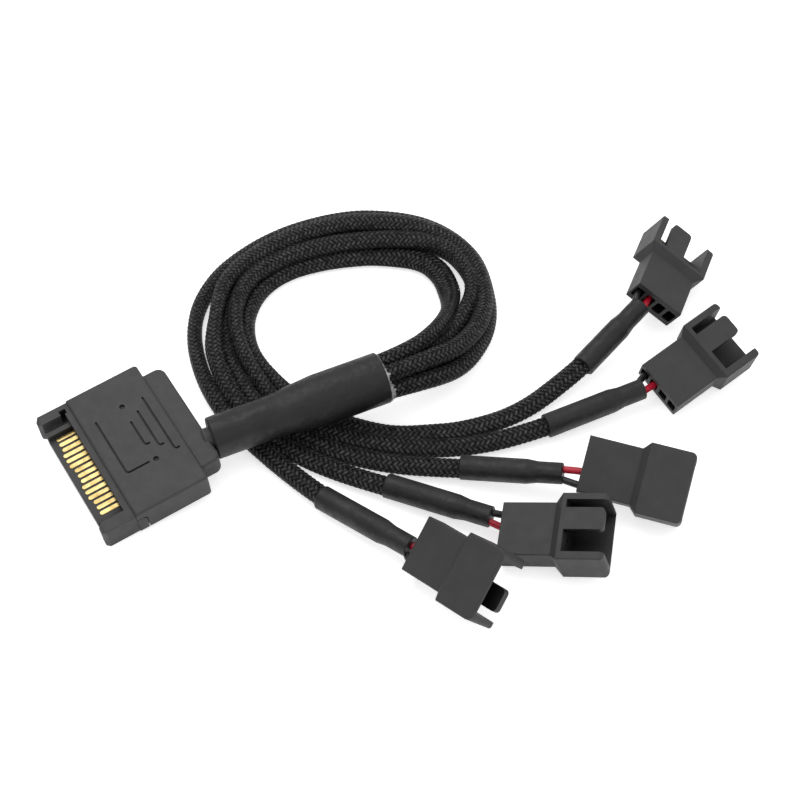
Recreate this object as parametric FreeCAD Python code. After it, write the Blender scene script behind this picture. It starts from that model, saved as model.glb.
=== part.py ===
"""Fan splitter cable: one wide drive-power plug that feeds five braided fan leads.

All sizes are in millimetres and degrees. X runs along the wide plug, from its contacts to the
tube behind it. Z is up, and the whole cable lies on the floor at Z = 0.
"""
import math
import os

import FreeCAD
import Part

Vector = FreeCAD.Vector

# Wide plug, in its own frame: x rearward from the cover's front edge, y across, z up from the underside
PLUG_FRONT = (-22.4, 0.7)
PLUG_HEADING = 0.3
PLUG_PITCH = 6.0
PLUG_ROLL = 5.4
PLUG_WIDTH = 28.3
PLUG_DEPTH = 14.35
PLUG_HEIGHT = 5.5
COVER_CORNER_RADIUS = 0.7
COVER_EDGE_RADIUS = 0.5
TIER_DEPTH = 3.9
TIER_INSET = 2.6
TIER_TOP_DROP = 0.5
TIER_UNDERCUT = 0.9
TIER_CORNER_RADIUS = 1.6
COLLAR_DEPTH = 1.2
COLLAR_INSET = 0.15
COLLAR_TOP_DROP = 0.6
ARM_REACH = 6.4
UPPER_ARM_WIDTH = 2.0
LOWER_ARM_WIDTH = 2.4
ARM_CHAMFER = 0.6
ARM_NOTCH = 0.8
TONGUE_REACH = 6.0
TONGUE_WIDTH = 21.0
TONGUE_BOTTOM = 1.0
TONGUE_THICKNESS = 1.9
KEY_WIDTH = 1.0
KEY_HEIGHT = 1.2
BLOCK_DEPTH = 8.0
BLOCK_WIDTH = 24.0
BLOCK_HEIGHT = 3.4
TAB_DEPTH = 1.8
TAB_THICKNESS = 1.2
TAB_HEIGHT = 3.6
TAB_GAP = 0.15

# Contacts of the wide plug
CONTACT_COUNT = 15
CONTACT_PITCH = 1.27
CONTACT_WIDTH = 0.82
CONTACT_THICKNESS = 0.3
CONTACT_PROUD = 0.1
CONTACT_FRONT_INSET = 0.8
CONTACT_STEP = 0.4
CONTACT_BURIED = 3.0
LONG_CONTACTS = (4, 5, 6, 10, 11, 12)

# Lines engraved in the cover's top
GROOVE_WIDTH = 0.36
GROOVE_DEPTH = 0.3
DIMPLE_RADIUS = 0.5
DIMPLE_DEPTH = 0.4
ENGRAVED_LINES = [
    [(12.1, 6.9), (12.1, -5.2), (12.2, -5.6), (12.5, -5.85), (12.9, -5.8)],
    [(10.05, 4.8), (10.05, -3.1), (10.15, -3.5), (10.45, -3.75), (10.85, -3.7)],
    [(8.0, 3.4), (8.0, -1.6), (8.1, -2.0), (8.4, -2.25), (8.8, -2.2)],
    [(2.6, 6.7), (2.6, -5.2), (2.75, -5.55), (3.1, -5.7), (6.9, -5.7)],
]
DIMPLES = [(8.1, 7.2), (8.3, -5.8)]

# Thick heat-shrink tube, from the boss on the wide plug to its open mouth
BOSS_ACROSS = -6.1
BOSS_LEVEL = 3.2
BOSS_RADIUS = 2.3
BOSS_LENGTH = 5.0
BOSS_ROOT = 0.7
TUBE_GAP = 0.7
TUBE_PLUG_RADIUS = 3.95
TUBE_WAIST_RADIUS = 3.95
TUBE_MOUTH_RADIUS = 4.85
POCKET_DEPTH = 5.5
POCKET_RADIUS = 4.3
POCKET_CLEARANCE = 0.2
GLUE_PROUD = 0.2

# Braided leads: hand-chosen points of each run, from inside the thick tube round the loop to its own sleeve
LEAD_DIAMETER = 2.9
LEAD_ROUTES = {
    1: [
        (23.6, -8.3, 10.5),
        (34.3, -9.8, 11.5),
        (45.7, -4.7, 8.4),
        (53.5, 4.8, 2.4),
        (55.8, 13.2, 1.45),
        (53.2, 19.6, 1.45),
        (46.1, 24.4, 1.45),
        (37.4, 27.5, 1.45),
        (29.5, 28.6, 1.45),
        (22.3, 26.4, 1.45),
        (16.3, 20.1, 1.45),
        (13.7, 11.4, 1.45),
        (14.8, -1.2, 1.45),
        (20, -10.3, 1.45),
        (27.7, -18.6, 1.45),
        (37.7, -24.2, 1.45),
        (49, -26.5, 1.45),
        (61.8, -24.5, 2.7),
        (72.4, -21.7, 5.3),
    ],
    2: [
        (23.8, -7.4, 7.6),
        (34.5, -9, 8.4),
        (46.6, -6.4, 5.3),
        (57, 1.9, 4.5),
        (59.7, 13, 4.4),
        (56.4, 21.5, 4.2),
        (48, 26.8, 3.8),
        (38.3, 30.5, 3.8),
        (28.8, 31.2, 3.8),
        (20.4, 28.5, 3.8),
        (14.2, 21.2, 3.7),
        (11.3, 11.7, 3.3),
        (11.6, -1.6, 1.45),
        (16.8, -11.5, 1.45),
        (24.9, -20.3, 1.45),
        (35.1, -26.9, 1.45),
        (47.4, -31.1, 2.2),
        (59.1, -32.8, 3.2),
    ],
    3: [
        (23.6, -9.8, 5.8),
        (34.3, -11.7, 6.4),
        (47.4, -9, 3.5),
        (57.5, 0.9, 1.5),
        (60.7, 12.6, 1.45),
        (57.6, 22.1, 1.45),
        (49.6, 29.1, 1.45),
        (39.1, 33.2, 1.45),
        (28.4, 33.4, 1.45),
        (19, 30.1, 1.45),
        (12.4, 22, 1.45),
        (8.8, 11.4, 1.45),
        (8.5, -2.1, 1.45),
        (13.8, -13.2, 1.45),
        (21, -21.9, 1.45),
        (30.5, -29.8, 2.3),
        (38.6, -37, 3.8),
    ],
    4: [
        (23.2, -11.3, 10.5),
        (33.9, -12.9, 11.4),
        (48.2, -10.6, 7),
        (59.2, -0.8, 4.5),
        (62.7, 12.2, 4.2),
        (59.6, 23.2, 3.9),
        (51.2, 31.5, 3.8),
        (39.9, 35.9, 3.8),
        (28, 35.5, 3.8),
        (17.4, 31.4, 3.8),
        (9.9, 22.7, 3.8),
        (5.8, 11.2, 3.3),
        (5.6, -2.7, 1.6),
        (10.6, -14.7, 1.45),
        (17, -25, 2.2),
        (23.9, -34.7, 3),
    ],
    5: [
        (23.2, -12.3, 7.6),
        (33.9, -14.2, 8.2),
        (48.5, -12.1, 3.8),
        (59.5, -1.7, 1.5),
        (64, 12.1, 1.45),
        (61.5, 24.4, 1.45),
        (52.6, 33.7, 1.45),
        (40.4, 38.5, 1.45),
        (27, 38, 1.45),
        (14.9, 33.3, 1.45),
        (6.6, 23.9, 1.45),
        (2.6, 11.1, 1.45),
        (2.5, -3, 1.45),
        (6.3, -19.8, 1.8),
        (11, -31.9, 3.1),
    ],
}

# Thin heat-shrink sleeve at the end of each lead, and the two wires that leave it
SLEEVE_GRIP = 8.0
SLEEVE_LENGTHS = {1: 17.1, 2: 19.8, 3: 18.5, 4: 20.1, 5: 20.1}
SLEEVE_LEAD_RADIUS = 2.25
SLEEVE_END_LENGTH = 4.5
SLEEVE_NECK = 2.0
SLEEVE_WIRE_RADIUS = 1.95
WIRE_DIAMETER = 1.3
WIRE_SPACING = 1.5
WIRE_BURIED = 4.5
WIRE_BEND_DEPTH = 1.2
WIRE_ENTRY = 0.1

# Fan plugs, in their own frame: x forward from the rear face, y across, z up to the side with the tongue
FAN_REAR_WIDTH = 10.3
FAN_REAR_HEIGHT = 4.6
FAN_REAR_LENGTH = 9.5
FAN_STEP_LENGTH = 1.3
FAN_FRONT_WIDTH = 12.8
FAN_FRONT_HEIGHT = 7.0
FAN_LENGTH = 19.0
FAN_CORNER_RADIUS = 0.25
FAN_PLATE = 1.1
FAN_BAR = 0.8
FAN_ROOF = 1.2
FAN_LEFT_ARM = 1.3
FAN_RIGHT_ARM = 1.5
FAN_NARROW_SLOT = 1.55
FAN_WIDE_SLOT = 4.2
FAN_TONGUE_SHORT = 0.5
FAN_TONGUE_ROUNDING = 0.8
FAN_TIP_ROUNDING = 1.0
WAY_COUNT = 4
WAY_PITCH = 2.54
WAY_WIDTH = 1.9
WAY_HEIGHT = 2.5
WAY_ROUNDING = 0.35
WAY_DEPTH = 9.0
PIN_HOLE = 0.8
PIN_SIZE = 0.64
PIN_END = 15.5
CRIMP_START = 3.0
CRIMP_WIDTH = 1.1
CRIMP_HEIGHT = 1.8

# Where the rear face of each fan plug is: x, y, then its heading, nose-up pitch and roll
FAN_POSES = {
    1: (83.5, -20.1, 37.8, -1.9, 31.2),
    2: (73.4, -35.8, 4.6, 10.5, 17.8),
    3: (50.0, -44.9, -48.5, -0.8, -148.0),
    4: (31.0, -48.1, -43.2, 15.4, 9.7),
    5: (17.2, -44.1, -78.8, 18.5, -143.3),
}
BLACK_WAY = 1.5 * WAY_PITCH
RED_WAY = 0.5 * WAY_PITCH


def block(x_range, y_range, z_range):
    """A plain block between three pairs of limits."""
    corner = Vector(x_range[0], y_range[0], z_range[0])
    return Part.makeBox(
        x_range[1] - x_range[0], y_range[1] - y_range[0], z_range[1] - z_range[0], corner
    )


def flat_face(points):
    """A flat face inside a closed outline."""
    return Part.Face(Part.makePolygon(points + points[:1]))


def prism(points, rise):
    """A flat outline raised along one direction."""
    return flat_face(points).extrude(rise)


def rounded_rectangle(x, width, height, radius):
    """A rectangle across the x direction, centred on it, with round corners."""
    across = width / 2 - radius
    up = height / 2 - radius
    diagonal = radius * math.sqrt(0.5)
    edges = []
    ends = []
    for side, level in ((1, 1), (-1, 1), (-1, -1), (1, -1)):
        flat_side = Vector(x, side * (across + radius), level * up)
        middle = Vector(x, side * (across + diagonal), level * (up + diagonal))
        flat_top = Vector(x, side * across, level * (up + radius))
        pair = (flat_side, flat_top) if side == level else (flat_top, flat_side)
        edges.append(Part.Arc(pair[0], middle, pair[1]).toShape())
        ends.append(pair)
    for here, after in zip(ends, ends[1:] + ends[:1]):
        edges.append(Part.LineSegment(here[1], after[0]).toShape())
    return Part.Wire(Part.__sortEdges__(edges))


def edges_at_level(solid, level):
    """The edges of a solid that lie wholly at one height."""
    found = []
    for edge in solid.Edges:
        if all(abs(vertex.Z - level) < 1e-6 for vertex in edge.Vertexes):
            found.append(edge)
    return found


def uprights_at(solid, x):
    """The upright edges of a solid at one distance along x."""
    found = []
    for edge in solid.Edges:
        low, high = sorted(vertex.Z for vertex in edge.Vertexes)
        if high - low > 1e-6 and all(abs(vertex.X - x) < 1e-6 for vertex in edge.Vertexes):
            found.append(edge)
    return found


def unit(vector):
    """The same direction with length one."""
    return vector / vector.Length


def rod(start, end, radius):
    """A round rod between two points."""
    return Part.makeCylinder(radius, (end - start).Length, start, end - start)


def turned(outline, start, direction):
    """A closed outline of (along, radius) points turned about an axis."""
    profile = flat_face([Vector(along, radius, 0) for along, radius in outline])
    solid = profile.revolve(Vector(0, 0, 0), Vector(1, 0, 0), 360)
    solid.Placement = FreeCAD.Placement(start, FreeCAD.Rotation(Vector(1, 0, 0), direction))
    return solid


def rounded_path(points):
    """Straight runs joined by tangent arcs, and the smallest arc radius."""
    edges = []
    radii = []
    start = points[0]
    for before, corner, after in zip(points, points[1:], points[2:]):
        back = unit(before - corner)
        ahead = unit(after - corner)
        half_turn = (math.pi - back.getAngle(ahead)) / 2
        trim = 0.45 * min((before - corner).Length, (after - corner).Length)
        radius = trim / math.tan(half_turn)
        middle = corner + unit(back + ahead) * (radius / math.cos(half_turn) - radius)
        edges.append(Part.LineSegment(start, corner + back * trim).toShape())
        edges.append(Part.Arc(corner + back * trim, middle, corner + ahead * trim).toShape())
        radii.append(radius)
        start = corner + ahead * trim
    edges.append(Part.LineSegment(start, points[-1]).toShape())
    return Part.Wire(edges), min(radii)


def tube_along(points, diameter, name):
    """A solid round cord along the rounded path through some points."""
    path, smallest = rounded_path(points)
    circle = Part.makeCircle(diameter / 2, points[0], points[1] - points[0])
    solid = path.makePipeShell([Part.Wire(circle)], True, False)
    expected = math.pi * (diameter / 2) ** 2 * path.Length
    print(
        f"{name}: length {path.Length:.1f}, smallest radius {smallest:.1f},"
        f" volume ratio {solid.Volume / expected:.4f}"
    )
    return solid


def at_rest(solid, x, y, rotation):
    """The placement that turns a solid and sets its lowest point on the floor."""
    trial = solid.copy()
    trial.Placement = FreeCAD.Placement(Vector(x, y, 0), rotation)
    return FreeCAD.Placement(Vector(x, y, -trial.BoundBox.ZMin), rotation)


def placed(shape, placement):
    """A copy of a shape moved by a placement."""
    copy = shape.copy()
    copy.Placement = placement
    return copy


# Wide plug
def side_arm(inner, outer, top):
    """One guide arm with a tapered tip, between its inner and outer side."""
    tip = -ARM_REACH
    small = math.copysign(ARM_CHAMFER, outer)
    outline = [
        Vector(-COLLAR_DEPTH, inner, 0),
        Vector(tip + ARM_CHAMFER, inner, 0),
        Vector(tip, inner + small, 0),
        Vector(tip, outer - small, 0),
        Vector(tip + ARM_CHAMFER, outer, 0),
        Vector(-COLLAR_DEPTH, outer, 0),
    ]
    arm = prism(outline, Vector(0, 0, top))
    low, high = sorted((inner, outer))
    bevel = [
        Vector(tip, low, top - ARM_CHAMFER),
        Vector(tip, low, top),
        Vector(tip + ARM_CHAMFER, low, top),
    ]
    return arm.cut(prism(bevel, Vector(0, high - low, 0)))


def side_tab(side, gap):
    """The tab that keys the housing into one side wall of the cover, or its seat when given a gap."""
    inner = PLUG_WIDTH / 2 - TAB_THICKNESS
    low, high = sorted((side * inner, side * PLUG_WIDTH / 2))
    tab = block((0, TAB_DEPTH + gap), (low, high), (0, TAB_HEIGHT + gap))
    corner = [
        edge
        for edge in tab.Edges
        if all(v.X > TAB_DEPTH - 0.01 and v.Z > TAB_HEIGHT - 0.01 for v in edge.Vertexes)
    ]
    return tab.makeFillet(TAB_DEPTH / 2, corner)


def inner_block():
    """The block of the housing that sits inside the cover."""
    half = BLOCK_WIDTH / 2
    return block((0, BLOCK_DEPTH), (-half, half), (TONGUE_BOTTOM, TONGUE_BOTTOM + BLOCK_HEIGHT))


def contact_blades():
    """The row of gold blades; six of them reach further forward."""
    blades = []
    middle = (CONTACT_COUNT + 1) / 2
    half = CONTACT_WIDTH / 2
    bottom = TONGUE_BOTTOM + TONGUE_THICKNESS + CONTACT_PROUD - CONTACT_THICKNESS
    for number in range(1, CONTACT_COUNT + 1):
        y = (middle - number) * CONTACT_PITCH
        front = CONTACT_FRONT_INSET - TONGUE_REACH + half
        if number not in LONG_CONTACTS:
            front += CONTACT_STEP
        corners = [
            Vector(front, y - half, bottom),
            Vector(CONTACT_BURIED, y - half, bottom),
            Vector(CONTACT_BURIED, y + half, bottom),
            Vector(front, y + half, bottom),
        ]
        edges = [Part.LineSegment(a, b).toShape() for a, b in zip(corners, corners[1:])]
        nose = Vector(front - half, y, bottom)
        edges.append(Part.Arc(corners[3], nose, corners[0]).toShape())
        blades.append(Part.Face(Part.Wire(edges)).extrude(Vector(0, 0, CONTACT_THICKNESS)))
    return Part.makeCompound(blades)


def plug_housing(blades):
    """Tongue with its L key, the two arms, the collar and the block that sits in the cover."""
    edge = PLUG_WIDTH / 2 - COLLAR_INSET
    top = PLUG_HEIGHT - COLLAR_TOP_DROP
    tongue_top = TONGUE_BOTTOM + TONGUE_THICKNESS
    collar = block((-COLLAR_DEPTH, 0), (-edge, edge), (0, top))
    tongue_edge = TONGUE_WIDTH / 2
    tongue = block((-TONGUE_REACH, 0), (-tongue_edge, tongue_edge), (TONGUE_BOTTOM, tongue_top))
    key = block(
        (-TONGUE_REACH, 0),
        (tongue_edge - KEY_WIDTH, tongue_edge),
        (tongue_top, tongue_top + KEY_HEIGHT),
    )
    upper_arm = side_arm(edge - UPPER_ARM_WIDTH, edge, top)
    lower_arm = side_arm(LOWER_ARM_WIDTH - edge, -edge, top)
    notch = block(
        (-COLLAR_DEPTH - ARM_NOTCH, -COLLAR_DEPTH + ARM_NOTCH / 2),
        (edge - UPPER_ARM_WIDTH, edge - UPPER_ARM_WIDTH / 2),
        (top / 2, top),
    )
    pieces = [inner_block(), tongue, key, upper_arm, lower_arm, side_tab(1, 0), side_tab(-1, 0)]
    return collar.fuse(pieces).removeSplitter().cut(notch).cut(blades)


def engraving():
    """The cutters for the lines and dimples in the cover's top."""
    cutters = []
    bottom = PLUG_HEIGHT - GROOVE_DEPTH
    half = GROOVE_WIDTH / 2
    for line in ENGRAVED_LINES:
        for x, y in line:
            cutters.append(Part.makeCylinder(half, 2 * GROOVE_DEPTH, Vector(x, y, bottom)))
        for here, after in zip(line, line[1:]):
            start = Vector(here[0], here[1], bottom)
            along = Vector(after[0], after[1], bottom) - start
            aside = unit(Vector(-along.y, along.x, 0)) * half
            corners = [start + aside, start - aside, start - aside + along, start + aside + along]
            cutters.append(prism(corners, Vector(0, 0, 2 * GROOVE_DEPTH)))
    for x, y in DIMPLES:
        level = Vector(x, y, PLUG_HEIGHT - DIMPLE_DEPTH)
        cutters.append(Part.makeCylinder(DIMPLE_RADIUS, 2 * DIMPLE_DEPTH, level))
    return cutters


def cover_body():
    """The moulded cover without its boss: front section, rear tier, socket and engraving."""
    half = PLUG_WIDTH / 2
    front = block((0, PLUG_DEPTH), (-half, half), (0, PLUG_HEIGHT))
    front = front.makeFillet(COVER_CORNER_RADIUS, uprights_at(front, PLUG_DEPTH))
    front = front.makeFillet(COVER_EDGE_RADIUS, edges_at_level(front, PLUG_HEIGHT))
    tier_half = half - TIER_INSET
    tier_top = PLUG_HEIGHT - TIER_TOP_DROP
    rear = PLUG_DEPTH + TIER_DEPTH
    tier = block((PLUG_DEPTH - 1, rear), (-tier_half, tier_half), (TIER_UNDERCUT, tier_top))
    tier = tier.makeFillet(TIER_CORNER_RADIUS, uprights_at(tier, rear))
    tier = tier.makeFillet(COVER_EDGE_RADIUS, edges_at_level(tier, tier_top))
    seats = [inner_block(), side_tab(1, TAB_GAP), side_tab(-1, TAB_GAP)]
    return front.fuse(tier).removeSplitter().cut(seats).cut(engraving())


# Thick tube and its glue
def main_tube(start, mouth, boss_end):
    """The thick tube, hollow over the boss and at its mouth, closed between."""
    axis = unit(mouth - start)
    length = (mouth - start).Length
    socket = (boss_end - start).Length
    floor = length - POCKET_DEPTH - POCKET_CLEARANCE
    outline = [
        (0, BOSS_RADIUS),
        (0, TUBE_PLUG_RADIUS - 0.25),
        (0.25, TUBE_PLUG_RADIUS),
        (0.38 * length, TUBE_WAIST_RADIUS),
        (0.5 * length, 0.4 * TUBE_WAIST_RADIUS + 0.6 * TUBE_MOUTH_RADIUS),
        (0.62 * length, TUBE_MOUTH_RADIUS),
        (length - 0.2, TUBE_MOUTH_RADIUS),
        (length, TUBE_MOUTH_RADIUS - 0.2),
        (length, POCKET_RADIUS),
        (floor, POCKET_RADIUS),
        (floor, 0),
        (socket, 0),
        (socket, BOSS_RADIUS),
    ]
    return turned(outline, start, axis)


def mouth_centre(routes):
    """The middle of the tube's open end: one pocket depth along from where the leads start."""
    total = Vector(0, 0, 0)
    for points in routes.values():
        total += points[0] + unit(points[1] - points[0]) * POCKET_DEPTH
    return total / len(routes)


def glue_seal(axis, mouth, routes):
    """The glue in the tube's mouth, with a hole for each lead."""
    glue = rod(mouth - axis * POCKET_DEPTH, mouth + axis * GLUE_PROUD, POCKET_RADIUS)
    for points in routes.values():
        along = unit(points[1] - points[0])
        glue = glue.cut(rod(points[0] - along, points[1], LEAD_DIAMETER / 2))
    return glue


# Branches
def arm_tips(housing, top):
    """The edges across the front end of a fan plug's two arms."""
    found = []
    for edge in housing.Edges:
        if all(abs(v.X - FAN_LENGTH) < 1e-6 and abs(v.Z - top) < 1e-6 for v in edge.Vertexes):
            found.append(edge)
    return found


def fan_housing():
    """One fan plug: narrow rear with four ways, sloped step, open front with arms and a tongue."""
    half = FAN_FRONT_WIDTH / 2
    top = FAN_FRONT_HEIGHT / 2
    step_end = FAN_REAR_LENGTH + FAN_STEP_LENGTH
    rear_end = rounded_rectangle(FAN_REAR_LENGTH, FAN_REAR_WIDTH, FAN_REAR_HEIGHT, FAN_CORNER_RADIUS)
    front_start = rounded_rectangle(step_end, FAN_FRONT_WIDTH, FAN_FRONT_HEIGHT, FAN_CORNER_RADIUS)
    rear = Part.Face(rear_end).extrude(Vector(-FAN_REAR_LENGTH, 0, 0))
    step = Part.makeLoft([rear_end, front_start], True, True)
    front = Part.Face(front_start).extrude(Vector(FAN_LENGTH - step_end, 0, 0))
    body = rear.fuse([step, front])
    hollow_start = step_end + FAN_BAR
    left = half - FAN_LEFT_ARM
    right = FAN_RIGHT_ARM - half
    hollow = block((hollow_start, FAN_LENGTH), (right, left), (FAN_PLATE - top, top - FAN_ROOF))
    narrow_slot = block((hollow_start, FAN_LENGTH), (left - FAN_NARROW_SLOT, left), (0, top))
    wide_slot = block((hollow_start, FAN_LENGTH), (right, right + FAN_WIDE_SLOT), (0, top))
    tongue_tip = block((FAN_LENGTH - FAN_TONGUE_SHORT, FAN_LENGTH), (right, left), (0, top))
    cutters = [hollow, narrow_slot, wide_slot, tongue_tip]
    way_opening = rounded_rectangle(0, WAY_WIDTH, WAY_HEIGHT, WAY_ROUNDING)
    for way in range(WAY_COUNT):
        y = (way - (WAY_COUNT - 1) / 2) * WAY_PITCH
        cutters.append(Part.Face(way_opening).extrude(Vector(WAY_DEPTH, 0, 0)).translated(Vector(0, y, 0)))
        pin_side = (y - PIN_HOLE / 2, y + PIN_HOLE / 2)
        cutters.append(block((WAY_DEPTH, hollow_start), pin_side, (-PIN_HOLE / 2, PIN_HOLE / 2)))
    body = body.cut(cutters).removeSplitter()
    body = body.makeFillet(FAN_TONGUE_ROUNDING, uprights_at(body, FAN_LENGTH - FAN_TONGUE_SHORT))
    return body.makeFillet(FAN_TIP_ROUNDING, arm_tips(body, top))


def fan_pins():
    """The two pins of a fan plug, each with the crimp that holds its wire."""
    pins = []
    bottom = -WAY_HEIGHT / 2
    for y in (BLACK_WAY, RED_WAY):
        crimp_side = (y - CRIMP_WIDTH / 2, y + CRIMP_WIDTH / 2)
        crimp = block((CRIMP_START, WAY_DEPTH), crimp_side, (bottom, bottom + CRIMP_HEIGHT))
        half = PIN_SIZE / 2
        pin = block((WAY_DEPTH, PIN_END), (y - half, y + half), (-half, half))
        pins.append(crimp.fuse(pin).removeSplitter())
    return Part.makeCompound(pins)


def sleeve_body(start, direction, length):
    """One thin sleeve before its lead and wires are taken out of it."""
    neck = length - SLEEVE_END_LENGTH
    outline = [
        (0, 0),
        (0, SLEEVE_LEAD_RADIUS - 0.15),
        (0.15, SLEEVE_LEAD_RADIUS),
        (neck - SLEEVE_NECK, SLEEVE_LEAD_RADIUS),
        (neck, SLEEVE_WIRE_RADIUS),
        (length - 0.15, SLEEVE_WIRE_RADIUS),
        (length, SLEEVE_WIRE_RADIUS - 0.15),
        (length, 0),
    ]
    return turned(outline, start, direction)


def wire_points(sleeve_end, direction, plug, way, side):
    """The route of one wire, from inside the sleeve to its crimp in the fan plug."""
    across = plug.Rotation.multVec(Vector(0, 1, 0))
    across = unit(across - direction * across.dot(direction)) * (side * WIRE_SPACING / 2)
    level = (CRIMP_HEIGHT - WAY_HEIGHT) / 2
    return [
        sleeve_end - direction * WIRE_BURIED + across,
        sleeve_end - direction * WIRE_BEND_DEPTH + across,
        plug.multVec(Vector(-WIRE_ENTRY, way, level)),
        plug.multVec(Vector(CRIMP_START, way, level)),
    ]


def branch(number, points, housing, pins):
    """All the pieces of one fan branch, by name."""
    x, y, heading, pitch, roll = FAN_POSES[number]
    plug = at_rest(housing, x, y, FreeCAD.Rotation(heading, -pitch, roll))
    lead = tube_along(points, LEAD_DIAMETER, f"lead_{number}")
    direction = unit(points[-1] - points[-2])
    start = points[-1] - direction * SLEEVE_GRIP
    length = SLEEVE_LENGTHS[number]
    end = start + direction * length
    black_route = wire_points(end, direction, plug, BLACK_WAY, 1)
    red_route = wire_points(end, direction, plug, RED_WAY, -1)
    black = tube_along(black_route, WIRE_DIAMETER, f"black_wire_{number}")
    red = tube_along(red_route, WIRE_DIAMETER, f"red_wire_{number}")
    sleeve = sleeve_body(start, direction, length).cut([lead, black, red])
    return {
        f"lead_{number}": lead,
        f"heat_shrink_{number}": sleeve,
        f"black_wire_{number}": black,
        f"red_wire_{number}": red,
        f"fan_housing_{number}": placed(housing, plug),
        f"fan_pins_{number}": placed(pins, plug),
    }


def wide_end(routes):
    """The wide plug, its tube and the glue, by name."""
    blades = contact_blades()
    housing = plug_housing(blades)
    turn = FreeCAD.Rotation(PLUG_HEADING, -PLUG_PITCH, PLUG_ROLL)
    plug = at_rest(housing, PLUG_FRONT[0], PLUG_FRONT[1], turn)
    root = plug.multVec(Vector(PLUG_DEPTH + TIER_DEPTH, BOSS_ACROSS, BOSS_LEVEL))
    mouth = mouth_centre(routes)
    axis = unit(mouth - root)
    boss_end = root + axis * BOSS_LENGTH
    boss = rod(root - axis * BOSS_ROOT, boss_end, BOSS_RADIUS)
    return {
        "plug_housing": placed(housing, plug),
        "plug_contacts": placed(blades, plug),
        "plug_cover": placed(cover_body(), plug).fuse(boss).removeSplitter(),
        "main_heat_shrink": main_tube(root + axis * TUBE_GAP, mouth, boss_end),
        "glue_seal": glue_seal(axis, mouth, routes),
    }


def main():
    routes = {}
    for number, points in LEAD_ROUTES.items():
        routes[number] = [Vector(*point) for point in points]
    pieces = wide_end(routes)
    housing = fan_housing()
    pins = fan_pins()
    for number, points in routes.items():
        pieces.update(branch(number, points, housing, pins))
    os.makedirs("parts", exist_ok=True)
    for name, shape in pieces.items():
        shape.exportStep(f"parts/{name}.step")
        print(f"{name}: valid {shape.isValid()}, solids {len(shape.Solids)}, volume {shape.Volume:.1f}")


main()
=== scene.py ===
import math
from collections import namedtuple

import bpy
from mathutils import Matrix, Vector, noise


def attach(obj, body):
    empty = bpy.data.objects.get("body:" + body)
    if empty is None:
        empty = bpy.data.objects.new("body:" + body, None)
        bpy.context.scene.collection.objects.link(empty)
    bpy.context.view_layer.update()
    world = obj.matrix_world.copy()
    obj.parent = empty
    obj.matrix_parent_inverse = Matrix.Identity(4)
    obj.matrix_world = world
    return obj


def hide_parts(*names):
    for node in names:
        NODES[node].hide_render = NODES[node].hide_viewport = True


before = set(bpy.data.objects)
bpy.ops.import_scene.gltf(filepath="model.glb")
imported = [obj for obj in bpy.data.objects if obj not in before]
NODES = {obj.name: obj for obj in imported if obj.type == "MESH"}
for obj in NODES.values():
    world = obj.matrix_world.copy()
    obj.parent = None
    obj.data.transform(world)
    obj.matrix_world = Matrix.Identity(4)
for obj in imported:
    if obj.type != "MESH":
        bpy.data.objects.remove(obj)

# Looks of the fan splitter cable. Metres; X along the wide plug, Z up from the floor.
MM = 0.001
UP = Vector((0.0, 0.0, 1.0))
BRANCHES = (1, 2, 3, 4, 5)

# Camera at the photo's viewpoint
CAMERA_PLACE = (-0.07399, -0.18806, 0.24667)
CAMERA_TARGET = (0.03261, -0.01064, 0.0)
CAMERA_LENS = 77.22
CAMERA_SENSOR = 36.0
CAMERA_NEAR = 0.01

# Light all round: its bright side, its strength there and away from it, and the cosines where each begins
BRIGHT_SIDE = (0.20, -0.10, 0.97)
BRIGHT_LIGHT = 1.0
BRIGHT_FROM = 0.9
DIM_LIGHT = 0.4
DIM_FROM = -0.2

# One soft light above
TOP_LIGHT_PLACE = (-0.05, 0.35, 0.75)
TOP_LIGHT_TARGET = (0.03, 0.0, 0.0)
TOP_LIGHT_SIZE = 0.5
TOP_LIGHT_POWER = 1.5

# White floor
FLOOR_HALF = 3.0
FLOOR_GLOW = 0.6
WHITE = (1.0, 1.0, 1.0, 1.0)

# Range that most of a noise texture lies in
NOISE_RANGE = (0.3, 0.7)

# Tones and colours between which the surfaces vary
PLUG_TONES = (0.043, 0.052)
PLUG_ROUGHNESS = (0.5, 0.62)
FAN_TONES = (0.036, 0.043)
FAN_ROUGHNESS = (0.5, 0.6)
GOLD_DARK = (0.32, 0.225, 0.08)
GOLD_LIGHT = (0.57, 0.45, 0.20)
RED_DARK = (0.42, 0.006, 0.022)
RED_LIGHT = (0.58, 0.012, 0.042)
BLACK_DARK = (0.008, 0.008, 0.009)
BLACK_LIGHT = (0.02, 0.02, 0.022)

# Painted shade in the plugs' hollows: how far walls shade each other, the openness of dark and open faces,
# darkest painted tone
HOLLOW_SHADE_DEPTH = 7.0 * MM
HOLLOW_SHADE_OPENNESS = (0.3, 0.85)
HOLLOW_SHADE_TONE = 0.05

# Open end of the thick tube and the ragged glue round it
TUBE_MOUTH = (0.0289, -0.0107, 0.0088)
TUBE_AXIS = (0.986, -0.151, 0.070)
GLUE_STEPS = 150
GLUE_OUTER = 4.62 * MM
GLUE_MIDDLE = 4.2 * MM
GLUE_INNER = 3.8 * MM
GLUE_REACH = 1.3 * MM
GLUE_SUNK = 0.15 * MM
GLUE_FULL_ANGLE = 0.2
# Shares of the reach that are even, in coarse lumps and in fine lumps, and the swelling of the rim
GLUE_EVEN = 0.5
GLUE_COARSE = 0.6
GLUE_COARSE_LUMPS = 9.0
GLUE_FINE = 0.4
GLUE_FINE_LUMPS = 31.0
GLUE_SWELL = 0.12 * MM
GLUE_SWELL_LUMPS = 17.0

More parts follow.
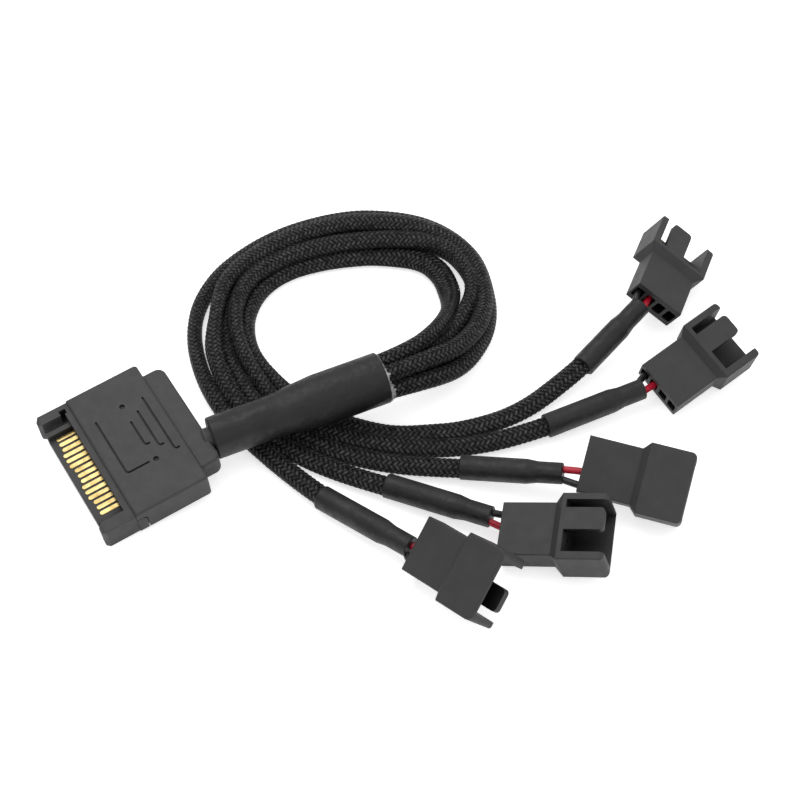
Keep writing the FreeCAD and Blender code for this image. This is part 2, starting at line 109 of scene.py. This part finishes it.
# Braid round each lead
ROUND_HALF = 1.45 * MM
BRAID_LAY = 12.0 * MM
STRANDS_EACH_WAY = 12
STRAND_WIDTH = 0.6 * MM
STRAND_STEP = 0.3 * MM
STRAND_LIFT = 0.1 * MM
STRAND_CROWN = 0.06 * MM
# Points across a strand from edge to edge, and the share of the crown that each is raised by
STRAND_ACROSS = (0.0, 0.3, 0.7, 1.0)
STRAND_CROWNED = (0.0, 1.0, 1.0, 0.0)
# Map of the place across a strand and its height, and how much painted shade the strand's tone takes from
# them: darker towards its edges and where it dives under
STRAND_MAP = "strand"
STRAND_EDGE = 0.3
STRAND_EDGE_SHADE = 0.1
STRAND_DIVE = 0.45
STRAND_DIVE_SHADE = 0.05
FILAMENT_LINES = 3.0
# Strands stray from their even turns by an angle, over a length, each in its own way
STRAY_ANGLE = 0.12
STRAY_LENGTH = 2.0 * MM
STRAY_PER_STRAND = 7.3
STRAY_PER_WAY = 3.1
# Dark core under the strands; its rings use only some points of the line
CORE_INSET = 0.22 * MM
CORE_SIDES = 20
CORE_EVERY = 3
# Half width and half height of the braid in millimetres at each point of the loop, then in the fan-out
LOOP_HALF_WIDTHS = (1.45, 1.6, 1.65, 1.65, 1.65, 2.05, 2.15, 2.1, 1.95, 1.6, 1.3, 1.25, 1.4)
LOOP_HALF_HEIGHTS = (1.45, 1.7, 1.75, 1.5, 1.3, 1.05, 1.0, 1.02, 1.1, 1.34, 1.45, 1.45, 1.45)
FAN_OUT_HALF_WIDTH = 1.85
FAN_OUT_HALF_HEIGHT = 1.2
# Leads pressed by their neighbours: made wider, and pushed to the right, in millimetres at route points
WIDENED = {
    1: {1: -0.2, 2: -0.25, 3: 0.5, 4: 0.8, 5: 0.5},
    2: {3: -0.3, 4: -0.3},
    3: {3: -0.3, 4: -0.3, 11: 0.2, 12: 0.2},
    4: {11: 0.4, 12: 0.35},
    5: {11: 0.15, 12: 0.2},
}
PUSHED = {
    1: {
        1: 0.3, 2: 0.3, 3: 0.3, 4: 0.45, 7: 0.25, 8: 0.3, 9: 0.2, 10: 0.2, 11: 0.3,
        13: 0.5, 14: 0.6, 15: -0.2, 16: -0.5, 17: -0.5,
    },
    2: {3: 0.7, 4: 0.7},
    3: {3: 0.7, 4: 0.7, 11: 0.15, 12: 0.15, 14: 0.2, 15: 0.3},
    4: {
        2: -0.2, 3: -0.4, 4: 0.15, 5: 0.3, 7: -0.35, 8: -0.25, 9: -0.3, 10: -0.7,
        11: 0.15, 12: 0.3, 13: 0.45, 14: 0.35,
    },
    5: {1: 0.8, 2: -0.3, 3: -0.5, 4: 0.3, 5: 0.35, 7: -0.4, 8: -0.2, 10: 0.25, 11: 0.15, 13: -0.55},
}

# Points of each lead, from inside the thick tube round the loop to its own sleeve
LEAD_ROUTES = {
    1: [
        (0.0236, -0.0083, 0.0105),
        (0.0343, -0.0098, 0.0115),
        (0.0457, -0.0047, 0.0084),
        (0.0535, 0.0048, 0.0024),
        (0.0558, 0.0132, 0.00145),
        (0.0532, 0.0196, 0.00145),
        (0.0461, 0.0244, 0.00145),
        (0.0374, 0.0275, 0.00145),
        (0.0295, 0.0286, 0.00145),
        (0.0223, 0.0264, 0.00145),
        (0.0163, 0.0201, 0.00145),
        (0.0137, 0.0114, 0.00145),
        (0.0148, -0.0012, 0.00145),
        (0.02, -0.0103, 0.00145),
        (0.0277, -0.0186, 0.00145),
        (0.0377, -0.0242, 0.00145),
        (0.049, -0.0265, 0.00145),
        (0.0618, -0.0245, 0.0027),
        (0.0724, -0.0217, 0.0053),
    ],
    2: [
        (0.0238, -0.0074, 0.0076),
        (0.0345, -0.009, 0.0084),
        (0.0466, -0.0064, 0.0053),
        (0.057, 0.0019, 0.0045),
        (0.0597, 0.013, 0.0044),
        (0.0564, 0.0215, 0.0042),
        (0.048, 0.0268, 0.0038),
        (0.0383, 0.0305, 0.0038),
        (0.0288, 0.0312, 0.0038),
        (0.0204, 0.0285, 0.0038),
        (0.0142, 0.0212, 0.0037),
        (0.0113, 0.0117, 0.0033),
        (0.0116, -0.0016, 0.00145),
        (0.0168, -0.0115, 0.00145),
        (0.0249, -0.0203, 0.00145),
        (0.0351, -0.0269, 0.00145),
        (0.0474, -0.0311, 0.0022),
        (0.0591, -0.0328, 0.0032),
    ],
    3: [
        (0.0236, -0.0098, 0.0058),
        (0.0343, -0.0117, 0.0064),
        (0.0474, -0.009, 0.0035),
        (0.0575, 0.0009, 0.0015),
        (0.0607, 0.0126, 0.00145),
        (0.0576, 0.0221, 0.00145),
        (0.0496, 0.0291, 0.00145),
        (0.0391, 0.0332, 0.00145),
        (0.0284, 0.0334, 0.00145),
        (0.019, 0.0301, 0.00145),
        (0.0124, 0.022, 0.00145),
        (0.0088, 0.0114, 0.00145),
        (0.0085, -0.0021, 0.00145),
        (0.0138, -0.0132, 0.00145),
        (0.021, -0.0219, 0.00145),
        (0.0305, -0.0298, 0.0023),
        (0.0386, -0.037, 0.0038),
    ],
    4: [
        (0.0232, -0.0113, 0.0105),
        (0.0339, -0.0129, 0.0114),
        (0.0482, -0.0106, 0.007),
        (0.0592, -0.0008, 0.0045),
        (0.0627, 0.0122, 0.0042),
        (0.0596, 0.0232, 0.0039),
        (0.0512, 0.0315, 0.0038),
        (0.0399, 0.0359, 0.0038),
        (0.028, 0.0355, 0.0038),
        (0.0174, 0.0314, 0.0038),
        (0.0099, 0.0227, 0.0038),
        (0.0058, 0.0112, 0.0033),
        (0.0056, -0.0027, 0.0016),
        (0.0106, -0.0147, 0.00145),
        (0.017, -0.025, 0.0022),
        (0.0239, -0.0347, 0.003),
    ],
    5: [
        (0.0232, -0.0123, 0.0076),
        (0.0339, -0.0142, 0.0082),
        (0.0485, -0.0121, 0.0038),
        (0.0595, -0.0017, 0.0015),
        (0.064, 0.0121, 0.00145),
        (0.0615, 0.0244, 0.00145),
        (0.0526, 0.0337, 0.00145),
        (0.0404, 0.0385, 0.00145),
        (0.027, 0.038, 0.00145),
        (0.0149, 0.0333, 0.00145),
        (0.0066, 0.0239, 0.00145),
        (0.0026, 0.0111, 0.00145),
        (0.0025, -0.003, 0.00145),
        (0.0063, -0.0198, 0.0018),
        (0.011, -0.0319, 0.0031),
    ],
}

# A lead's oval section, and a face of its mesh with the number of its material
Section = namedtuple("Section", "centre side up half_width half_height along")
Face = namedtuple("Face", "corners material strand_places")
STRAND_MATERIAL = 0
CORE_MATERIAL = 1


# Nodes that the materials share
def new_material(name):
    """A material, its node tree and the sockets of its surface shader."""
    material = bpy.data.materials.new(name)
    material.use_nodes = True
    tree = material.node_tree
    return material, tree, tree.nodes["Principled BSDF"].inputs


def calculated(tree, operation, *values):
    """The result of one operation on numbers and on outputs of other nodes."""
    step = tree.nodes.new("ShaderNodeMath")
    step.operation = operation
    for socket, value in zip(step.inputs, values):
        if isinstance(value, float):
            socket.default_value = value
        else:
            tree.links.new(value, socket)
    return step.outputs["Value"]


def mapped(tree, value, old_range, new_range, smooth=False):
    """A value taken from one range to another and held inside it."""
    spread = tree.nodes.new("ShaderNodeMapRange")
    if smooth:
        spread.interpolation_type = "SMOOTHSTEP"
    spread.inputs["From Min"].default_value = old_range[0]
    spread.inputs["From Max"].default_value = old_range[1]
    spread.inputs["To Min"].default_value = new_range[0]
    spread.inputs["To Max"].default_value = new_range[1]
    tree.links.new(value, spread.inputs["Value"])
    return spread.outputs["Result"]


def noise_between(tree, scale, low, high, detail=4.0):
    """Noise over the object, mapped to run between two values."""
    place = tree.nodes.new("ShaderNodeTexCoord").outputs["Object"]
    texture = tree.nodes.new("ShaderNodeTexNoise")
    texture.inputs["Scale"].default_value = scale
    texture.inputs["Detail"].default_value = detail
    tree.links.new(place, texture.inputs["Vector"])
    return mapped(tree, texture.outputs["Fac"], NOISE_RANGE, (low, high))


def grey(tree, value):
    """One value as a neutral colour."""
    colour = tree.nodes.new("ShaderNodeCombineColor")
    for channel in ("Red", "Green", "Blue"):
        tree.links.new(value, colour.inputs[channel])
    return colour.outputs["Color"]


def between_colours(tree, share, dark, light):
    """A colour between two others."""
    ramp = tree.nodes.new("ShaderNodeValToRGB")
    ramp.color_ramp.elements[0].color = (*dark, 1.0)
    ramp.color_ramp.elements[1].color = (*light, 1.0)
    tree.links.new(share, ramp.inputs["Fac"])
    return ramp.outputs["Color"]


def bumped(tree, surface, height, distance, strength, soft_edge):
    """Small relief on a surface, over edges softened by a bevel."""
    edge = tree.nodes.new("ShaderNodeBevel")
    edge.samples = 6
    edge.inputs["Radius"].default_value = soft_edge
    bump = tree.nodes.new("ShaderNodeBump")
    bump.inputs["Distance"].default_value = distance
    bump.inputs["Strength"].default_value = strength
    tree.links.new(height, bump.inputs["Height"])
    tree.links.new(edge.outputs["Normal"], bump.inputs["Normal"])
    tree.links.new(bump.outputs["Normal"], surface["Normal"])


def hollow_painted_shade(tree):
    """Painted shade: one on open faces, falling deep inside a piece's own hollows and grooves."""
    hollow_shade = tree.nodes.new("ShaderNodeAmbientOcclusion")
    hollow_shade.only_local = True
    hollow_shade.samples = 8
    hollow_shade.inputs["Distance"].default_value = HOLLOW_SHADE_DEPTH
    return mapped(tree, hollow_shade.outputs["AO"], HOLLOW_SHADE_OPENNESS, (HOLLOW_SHADE_TONE, 1.0))


# Materials
def moulded_plastic(name, tones, roughness, soft_edge):
    """Black moulded plastic with a faint grain, slightly uneven gloss and painted shade in its hollows."""
    material, tree, surface = new_material(name)
    cloud = noise_between(tree, scale=260.0, low=tones[0], high=tones[1])
    # Painted shade: the plastic's colour is darkened inside its hollows and grooves.
    tone = calculated(tree, "MULTIPLY", cloud, hollow_painted_shade(tree))
    tree.links.new(grey(tree, tone), surface["Base Color"])
    gloss = noise_between(tree, scale=500.0, low=roughness[0], high=roughness[1])
    tree.links.new(gloss, surface["Roughness"])
    surface["Specular IOR Level"].default_value = 0.35
    grain = noise_between(tree, scale=5200.0, low=0.0, high=1.0, detail=2.0)
    bumped(tree, surface, grain, distance=0.02 * MM, strength=0.25, soft_edge=soft_edge)
    return material


def shrunk_tube(name):
    """Heat-shrink tube: satin black, with soft dents left by what lies under it."""
    material, tree, surface = new_material(name)
    tone = noise_between(tree, scale=180.0, low=0.008, high=0.014)
    tree.links.new(grey(tree, tone), surface["Base Color"])
    tree.links.new(noise_between(tree, scale=900.0, low=0.38, high=0.55), surface["Roughness"])
    surface["Specular IOR Level"].default_value = 0.38
    dents = noise_between(tree, scale=330.0, low=0.0, high=1.0, detail=3.0)
    bumped(tree, surface, dents, distance=0.5 * MM, strength=0.35, soft_edge=0.15 * MM)
    return material


def gold(name):
    """Thin gold plating, faintly clouded."""
    material, tree, surface = new_material(name)
    cloud = noise_between(tree, scale=700.0, low=0.0, high=1.0)
    tree.links.new(between_colours(tree, cloud, GOLD_DARK, GOLD_LIGHT), surface["Base Color"])
    surface["Metallic"].default_value = 1.0
    tree.links.new(noise_between(tree, scale=2500.0, low=0.18, high=0.32), surface["Roughness"])
    bumped(tree, surface, cloud, distance=0.01 * MM, strength=0.2, soft_edge=0.06 * MM)
    return material


def wire_skin(name, dark, light):
    """Smooth insulation of one wire, in a colour that varies a little."""
    material, tree, surface = new_material(name)
    shade = noise_between(tree, scale=900.0, low=0.0, high=1.0)
    tree.links.new(between_colours(tree, shade, dark, light), surface["Base Color"])
    tree.links.new(noise_between(tree, scale=1800.0, low=0.28, high=0.42), surface["Roughness"])
    return material


def dried_glue(name):
    """Pale, cloudy glue."""
    material, tree, surface = new_material(name)
    tone = noise_between(tree, scale=420.0, low=0.08, high=0.65)
    tree.links.new(grey(tree, tone), surface["Base Color"])
    tree.links.new(noise_between(tree, scale=2600.0, low=0.25, high=0.6), surface["Roughness"])
    surface["Transmission Weight"].default_value = 0.3
    lumps = noise_between(tree, scale=1300.0, low=0.0, high=1.0)
    bumped(tree, surface, lumps, distance=0.2 * MM, strength=0.6, soft_edge=0.1 * MM)
    return material


def braid_strand(name):
    """Flat bundles of thin filaments with fine lines along them; painted shade makes a strand darker
    towards its edges and where it dives under, lighter where it rides on top.
    """
    material, tree, surface = new_material(name)
    strand_map = tree.nodes.new("ShaderNodeUVMap")
    strand_map.uv_map = STRAND_MAP
    split = tree.nodes.new("ShaderNodeSeparateXYZ")
    tree.links.new(strand_map.outputs["UV"], split.inputs["Vector"])
    across = split.outputs["X"]
    height = split.outputs["Y"]
    # Painted shade: the tone falls towards the strand's edges and where it dives under the crossing
    # strand.
    arch = calculated(tree, "SINE", calculated(tree, "MULTIPLY", across, math.pi))
    edge_shade = mapped(tree, arch, (STRAND_EDGE, 1.0), (STRAND_EDGE_SHADE, 1.0))
    dive_shade = mapped(tree, height, (STRAND_DIVE, 1.0), (STRAND_DIVE_SHADE, 1.0), smooth=True)
    painted_strand_shade = calculated(tree, "MULTIPLY", dive_shade, edge_shade)
    fleck = noise_between(tree, scale=1100.0, low=0.01, high=0.11)
    tone = calculated(tree, "MULTIPLY", painted_strand_shade, fleck)
    tree.links.new(grey(tree, tone), surface["Base Color"])
    tree.links.new(noise_between(tree, scale=1500.0, low=0.35, high=0.5), surface["Roughness"])
    surface["Specular IOR Level"].default_value = 0.18
    turns = calculated(tree, "MULTIPLY", across, FILAMENT_LINES * math.tau)
    filaments = tree.nodes.new("ShaderNodeBump")
    filaments.inputs["Distance"].default_value = 0.05 * MM
    filaments.inputs["Strength"].default_value = 0.7
    filaments.invert = True
    tree.links.new(calculated(tree, "COSINE", turns), filaments.inputs["Height"])
    tree.links.new(filaments.outputs["Normal"], surface["Normal"])
    return material


def braid_core_shade(name):
    """The wires under the braid, seen between the strands, with painted shade making them near black."""
    material, tree, surface = new_material(name)
    # Painted shade: a near-black tone, darker than the black insulation, for the shaded inside of the
    # braid.
    tone = noise_between(tree, scale=1200.0, low=0.002, high=0.006)
    tree.links.new(grey(tree, tone), surface["Base Color"])
    surface["Roughness"].default_value = 0.8
    surface["Specular IOR Level"].default_value = 0.1
    return material


# Objects
def placed(name, data):
    """A new object in the scene."""
    piece = bpy.data.objects.new(name, data)
    bpy.context.scene.collection.objects.link(piece)
    return piece


def aimed(piece, place, target):
    """Put a camera or a light at a place, looking at a point."""
    piece.location = place
    looking = Vector(target) - Vector(place)
    piece.rotation_euler = looking.to_track_quat("-Z", "Y").to_euler()


def paint(name, material):
    """Give one CAD node its material."""
    NODES[name].data.materials.clear()
    NODES[name].data.materials.append(material)


# Leads
def lead_line(number):
    """Points along one lead's NURBS line, each with its station: its place in the list of route points."""
    route = LEAD_ROUTES[number]
    curve = bpy.data.curves.new(f"line_{number}", "CURVE")
    curve.dimensions = "3D"
    spline = curve.splines.new("NURBS")
    spline.points.add(len(route) - 1)
    for target, point in zip(spline.points, route):
        target.co = (*point, 1.0)
    spline.order_u = 3
    spline.use_endpoint_u = True
    spline.resolution_u = 16
    holder = bpy.data.objects.new(f"line_{number}", curve)
    mesh = bpy.data.meshes.new_from_object(holder)
    points = [vertex.co.copy() for vertex in mesh.vertices]
    bpy.data.objects.remove(holder)
    bpy.data.meshes.remove(mesh)
    last = len(points) - 1
    return [(point, index / last * (len(route) - 1)) for index, point in enumerate(points)]


def even_line(line, step):
    """The same line as points an even step apart, each with its station and distance along."""
    travelled = [0.0]
    for (here, _), (after, _) in zip(line, line[1:]):
        travelled.append(travelled[-1] + (after - here).length)
    count = int(travelled[-1] / step)
    points = []
    segment = 0
    for index in range(count + 1):
        along = travelled[-1] * index / count
        while segment < len(line) - 2 and travelled[segment + 1] < along:
            segment += 1
        part = (along - travelled[segment]) / (travelled[segment + 1] - travelled[segment])
        place = line[segment][0].lerp(line[segment + 1][0], part)
        station = line[segment][1] + part * (line[segment + 1][1] - line[segment][1])
        points.append((place, station, along))
    return points


def size_at(station, sizes, otherwise, smooth=False):
    """A size in metres between two points of the route, from millimetres listed for some of the points."""
    low = int(station)
    part = station - low
    if smooth:
        part = part * part * (3 - 2 * part)
    return (sizes.get(low, otherwise) * (1 - part) + sizes.get(low + 1, otherwise) * part) * MM


def sections(number, points):
    """The oval section of a lead at each point of its line.

    A flattened lead sinks, and in the loop the leads on top of it sink with it.
    """
    loop_widths = dict(enumerate(LOOP_HALF_WIDTHS))
    loop_heights = dict(enumerate(LOOP_HALF_HEIGHTS))
    made = []
    for index, (place, station, along) in enumerate(points):
        before = points[max(index - 1, 0)][0]
        after = points[min(index + 1, len(points) - 1)][0]
        ahead = (after - before).normalized()
        side = ahead.cross(UP).normalized()
        half_width = size_at(station, loop_widths, FAN_OUT_HALF_WIDTH)
        half_width += size_at(station, WIDENED[number], 0.0, smooth=True)
        half_height = size_at(station, loop_heights, FAN_OUT_HALF_HEIGHT)
        sink = max(ROUND_HALF - half_height, 0.0)
        if station < len(LOOP_HALF_WIDTHS) - 1:
            sink *= place.z / ROUND_HALF
        push = size_at(station, PUSHED[number], 0.0, smooth=True)
        centre = place - UP * sink + side * push
        made.append(Section(centre, side, side.cross(ahead), half_width, half_height, along))
    return made


def on_section(section, angle, lift):
    """A point on a lead's oval section, raised from it by a lift."""
    sideways = (section.half_width + lift) * math.cos(angle)
    upwards = (section.half_height + lift) * math.sin(angle)
    return section.centre + section.side * sideways + section.up * upwards


def strand_rows(lead_sections, strand, way):
    """Rows of points across one strand as it goes over two and under two, each with its height."""
    start = math.tau * strand / STRANDS_EACH_WAY
    rows = []
    for section in lead_sections:
        turns = section.along / BRAID_LAY
        stray = Vector((section.along / STRAY_LENGTH, STRAY_PER_STRAND * strand, STRAY_PER_WAY * way))
        angle = start + way * math.tau * turns + STRAY_ANGLE * noise.noise(stray)
        crossing = 2 * STRANDS_EACH_WAY * turns
        weave = way * math.cos(math.pi / 2 * (2 * strand + way * crossing - 0.5))
        around = math.tau * math.sqrt((section.half_width ** 2 + section.half_height ** 2) / 2)
        lean = math.cos(math.atan(around / BRAID_LAY))
        spread = math.tau * STRAND_WIDTH / lean / around
        row = []
        for across, crown in zip(STRAND_ACROSS, STRAND_CROWNED):
            lift = STRAND_LIFT * weave + STRAND_CROWN * crown
            row.append(on_section(section, angle + (across - 0.5) * spread, lift))
        rows.append((row, 0.5 + 0.5 * weave))
    return rows


def add_core(lead_sections, vertices, faces):
    """Add the dark oval tube under the strands."""
    rings = lead_sections[::CORE_EVERY]
    for section in rings:
        for side in range(CORE_SIDES):
            vertices.append(on_section(section, math.tau * side / CORE_SIDES, -CORE_INSET))
    for ring in range(len(rings) - 1):
        here = ring * CORE_SIDES
        after = here + CORE_SIDES
        for side in range(CORE_SIDES):
            beside = (side + 1) % CORE_SIDES
            corners = (here + side, here + beside, after + beside, after + side)
            faces.append(Face(corners, CORE_MATERIAL, ((0.0, 0.0),) * 4))


def add_strand(rows, vertices, faces):
    """Add one flat strand; its material reads the place across it and its height in the weave."""
    width = len(STRAND_ACROSS)
    low = len(vertices)
    for row, _ in rows:
        vertices.extend(row)
    for (_, here), (_, after) in zip(rows, rows[1:]):
        for column, (left, right) in enumerate(zip(STRAND_ACROSS, STRAND_ACROSS[1:])):
            corner = low + column
            corners = (corner, corner + 1, corner + width + 1, corner + width)
            places = ((left, here), (right, here), (right, after), (left, after))
            faces.append(Face(corners, STRAND_MATERIAL, places))
        low += width


def braid_mesh(number, points, strand_material, core_material):
    """One lead as a mesh: a dark oval core with flat strands woven round it."""
    lead_sections = sections(number, points)
    vertices = []
    faces = []
    add_core(lead_sections, vertices, faces)
    for way in (1, -1):
        for strand in range(STRANDS_EACH_WAY):
            add_strand(strand_rows(lead_sections, strand, way), vertices, faces)
    mesh = bpy.data.meshes.new(f"braid_{number}")
    mesh.from_pydata(vertices, [], [face.corners for face in faces])
    mesh.materials.append(strand_material)
    mesh.materials.append(core_material)
    layer = mesh.uv_layers.new(name=STRAND_MAP)
    for polygon, face in zip(mesh.polygons, faces):
        polygon.material_index = face.material
        polygon.use_smooth = True
        for loop, place in zip(polygon.loop_indices, face.strand_places):
            layer.data[loop].uv = place
    mesh.update()
    return mesh


def braided_lead(number, strand_material, core_material):
    """One braided lead in place of its plain CAD node, attached to the root body."""
    points = even_line(lead_line(number), STRAND_STEP)
    lead = placed(f"braid_{number}", braid_mesh(number, points, strand_material, core_material))
    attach(lead, "root")
    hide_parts(f"lead_{number}")


# Glue
def glue_reach(out, angle):
    """How far the glue stands out of the tube's mouth in one direction."""
    rough = GLUE_EVEN
    rough += GLUE_COARSE * noise.noise(out * GLUE_COARSE_LUMPS)
    rough += GLUE_FINE * noise.noise(out * GLUE_FINE_LUMPS)
    full = max(math.cos(angle - GLUE_FULL_ANGLE), 0.0)
    return GLUE_REACH * min(max(rough, 0.0), 1.0) * full - GLUE_SUNK


def glue_rim(material):
    """The ragged edge of the glue that stands out of the front of the thick tube's mouth."""
    axis = Vector(TUBE_AXIS).normalized()
    side = axis.cross(UP).normalized()
    up = side.cross(axis)
    vertices = []
    faces = []
    for step in range(GLUE_STEPS):
        angle = math.tau * step / GLUE_STEPS
        out = side * math.cos(angle) + up * math.sin(angle)
        reach = glue_reach(out, angle)
        swell = GLUE_SWELL * noise.noise(out * GLUE_SWELL_LUMPS)
        profile = (
            (GLUE_OUTER, -2 * GLUE_SUNK),
            (GLUE_OUTER + swell, reach),
            (GLUE_MIDDLE + swell, reach),
            (GLUE_INNER, -2 * GLUE_SUNK),
        )
        for radius, along in profile:
            vertices.append(Vector(TUBE_MOUTH) + out * radius + axis * along)
        here = len(profile) * step
        after = len(profile) * ((step + 1) % GLUE_STEPS)
        for row in range(len(profile) - 1):
            faces.append((here + row, here + row + 1, after + row + 1, after + row))
    mesh = bpy.data.meshes.new("glue_rim")
    mesh.from_pydata(vertices, [], faces)
    mesh.materials.append(material)
    rim = placed("glue_rim", mesh)
    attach(rim, "root")


# Studio
def camera():
    """The photo's viewpoint."""
    data = bpy.data.cameras.new("camera")
    data.lens = CAMERA_LENS
    data.sensor_width = CAMERA_SENSOR
    data.clip_start = CAMERA_NEAR
    seen = placed("camera", data)
    aimed(seen, CAMERA_PLACE, CAMERA_TARGET)
    bpy.context.scene.camera = seen


def top_light():
    """One square soft light."""
    data = bpy.data.lights.new("top_light", "AREA")
    data.size = TOP_LIGHT_SIZE
    data.energy = TOP_LIGHT_POWER
    light = placed("top_light", data)
    aimed(light, TOP_LIGHT_PLACE, TOP_LIGHT_TARGET)


def studio_world():
    """Even light all round, brightest from above."""
    world = bpy.data.worlds.new("studio")
    bpy.context.scene.world = world
    world.use_nodes = True
    tree = world.node_tree
    background = tree.nodes["Background"].inputs
    background["Color"].default_value = WHITE
    towards = tree.nodes.new("ShaderNodeVectorMath")
    towards.operation = "DOT_PRODUCT"
    towards.inputs[1].default_value = BRIGHT_SIDE
    tree.links.new(tree.nodes.new("ShaderNodeTexCoord").outputs["Generated"], towards.inputs[0])
    cosines = (DIM_FROM, BRIGHT_FROM)
    strength = mapped(tree, towards.outputs["Value"], cosines, (DIM_LIGHT, BRIGHT_LIGHT), smooth=True)
    tree.links.new(strength, background["Strength"])


def floor_white(name):
    """White that looks a little brighter, also in gloss, so that only soft shadows stay."""
    material, tree, surface = new_material(name)
    tone = noise_between(tree, scale=3.0, low=0.86, high=0.9)
    tree.links.new(grey(tree, tone), surface["Base Color"])
    surface["Roughness"].default_value = 0.9
    surface["Specular IOR Level"].default_value = 0.1
    surface["Emission Color"].default_value = WHITE
    rays = tree.nodes.new("ShaderNodeLightPath").outputs
    seen = calculated(tree, "MAXIMUM", rays["Is Camera Ray"], rays["Is Glossy Ray"])
    seen = calculated(tree, "MAXIMUM", seen, rays["Is Transmission Ray"])
    tree.links.new(calculated(tree, "MULTIPLY", seen, FLOOR_GLOW), surface["Emission Strength"])
    return material


def white_floor():
    """The floor that the cable lies on."""
    corners = [(x * FLOOR_HALF, y * FLOOR_HALF, 0.0) for x, y in ((-1, -1), (1, -1), (1, 1), (-1, 1))]
    mesh = bpy.data.meshes.new("floor")
    mesh.from_pydata(corners, [], [(0, 1, 2, 3)])
    mesh.materials.append(floor_white("floor_white"))
    placed("floor", mesh)


def dress():
    """Materials on the CAD nodes, braids in place of the plain leads, and the ragged glue."""
    plug = moulded_plastic("plug_plastic", PLUG_TONES, PLUG_ROUGHNESS, soft_edge=0.18 * MM)
    fan = moulded_plastic("fan_plastic", FAN_TONES, FAN_ROUGHNESS, soft_edge=0.14 * MM)
    tube = shrunk_tube("heat_shrink")
    plating = gold("contact_gold")
    red = wire_skin("red_insulation", RED_DARK, RED_LIGHT)
    black = wire_skin("black_insulation", BLACK_DARK, BLACK_LIGHT)
    glue = dried_glue("glue")
    strand = braid_strand("braid")
    core = braid_core_shade("braid_core_shade")
    paint("plug_housing", plug)
    paint("plug_cover", plug)
    paint("plug_contacts", plating)
    paint("main_heat_shrink", tube)
    paint("glue_seal", glue)
    for number in BRANCHES:
        paint(f"heat_shrink_{number}", tube)
        paint(f"black_wire_{number}", black)
        paint(f"red_wire_{number}", red)
        paint(f"fan_housing_{number}", fan)
        paint(f"fan_pins_{number}", plating)
        braided_lead(number, strand, core)
    glue_rim(glue)


def main():
    """Dress the cable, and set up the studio."""
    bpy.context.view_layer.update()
    dress()
    camera()
    studio_world()
    top_light()
    white_floor()
    bpy.context.scene.view_settings.view_transform = "Standard"


main()
